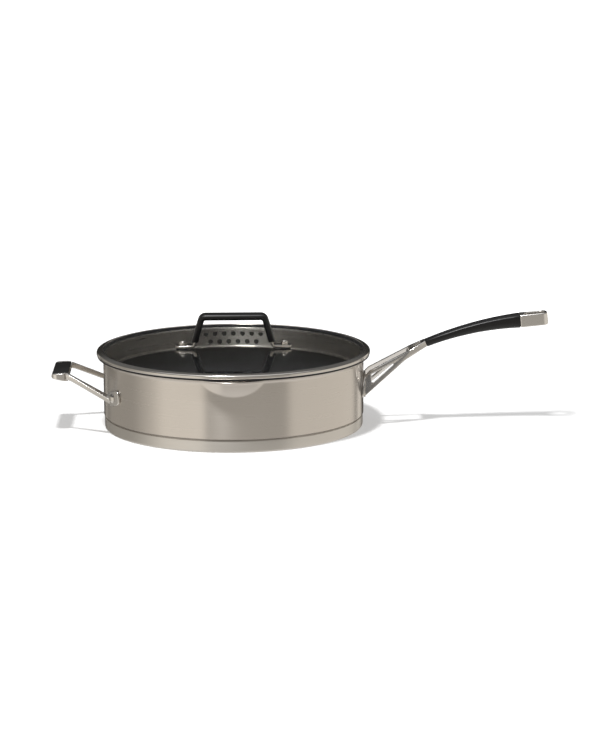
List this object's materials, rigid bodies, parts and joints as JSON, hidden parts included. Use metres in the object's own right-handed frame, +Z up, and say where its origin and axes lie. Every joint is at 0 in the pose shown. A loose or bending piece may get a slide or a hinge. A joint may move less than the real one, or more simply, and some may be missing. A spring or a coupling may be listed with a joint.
{
  "type": "saute pan with lid",
  "caption": "Round steel saute pan with pouring spouts, a long forked handle, a riveted helper handle and a glass lid that lifts off and turns, with a perforated rim for straining.",
  "frame": {"origin": "middle of the flat underside of the pan's base", "axes": "+X along the long handle, -Y towards the front pouring spout, +Z up"},
  "size_m": [0.5333, 0.2998, 0.1214],
  "materials": {
    "pan_steel": "brushed round the wall, satin, with a dark non-stick coating inside",
    "core": "plain, sealed inside the base",
    "cast_steel": "cast, satin, with brighter polished edges",
    "lid_steel": "satin, brushed",
    "fastener": "bright",
    "grip": "satin black, fine moulded texture",
    "silicone": "matt black",
    "glass": "clear, tempered"
  },
  "bodies": {
    "pan": {"pan_body": "pan_steel", "base_core": "core", "base_cap": "pan_steel", "handle_fork": "cast_steel", "handle_grip": "grip", "handle_loop": "cast_steel", "loop_screw": "fastener", "fork_rivets": "fastener", "helper_handle": "cast_steel", "helper_pad": "grip", "helper_rivets": "fastener"},
    "seal": {"lid_seal": "silicone"},
    "lid": {"lid_rim": "lid_steel", "lid_glass": "glass", "handle_strap": "lid_steel", "handle_sleeve": "grip", "lid_bolts": "fastener", "foot_gaskets": "silicone", "under_gaskets": "silicone", "lid_washers": "fastener", "lid_nuts": "fastener"}
  },
  "joints": [
    {"name": "lid_lift", "type": "slide", "parent": "pan", "child": "seal", "axis": [0, 0, 1], "range_m": [0, 0.12]},
    {"name": "lid_turn", "type": "hinge", "parent": "seal", "child": "lid", "pos_m": [0, 0, 0.08], "axis": [0, 0, 1], "continuous": true}
  ]
}
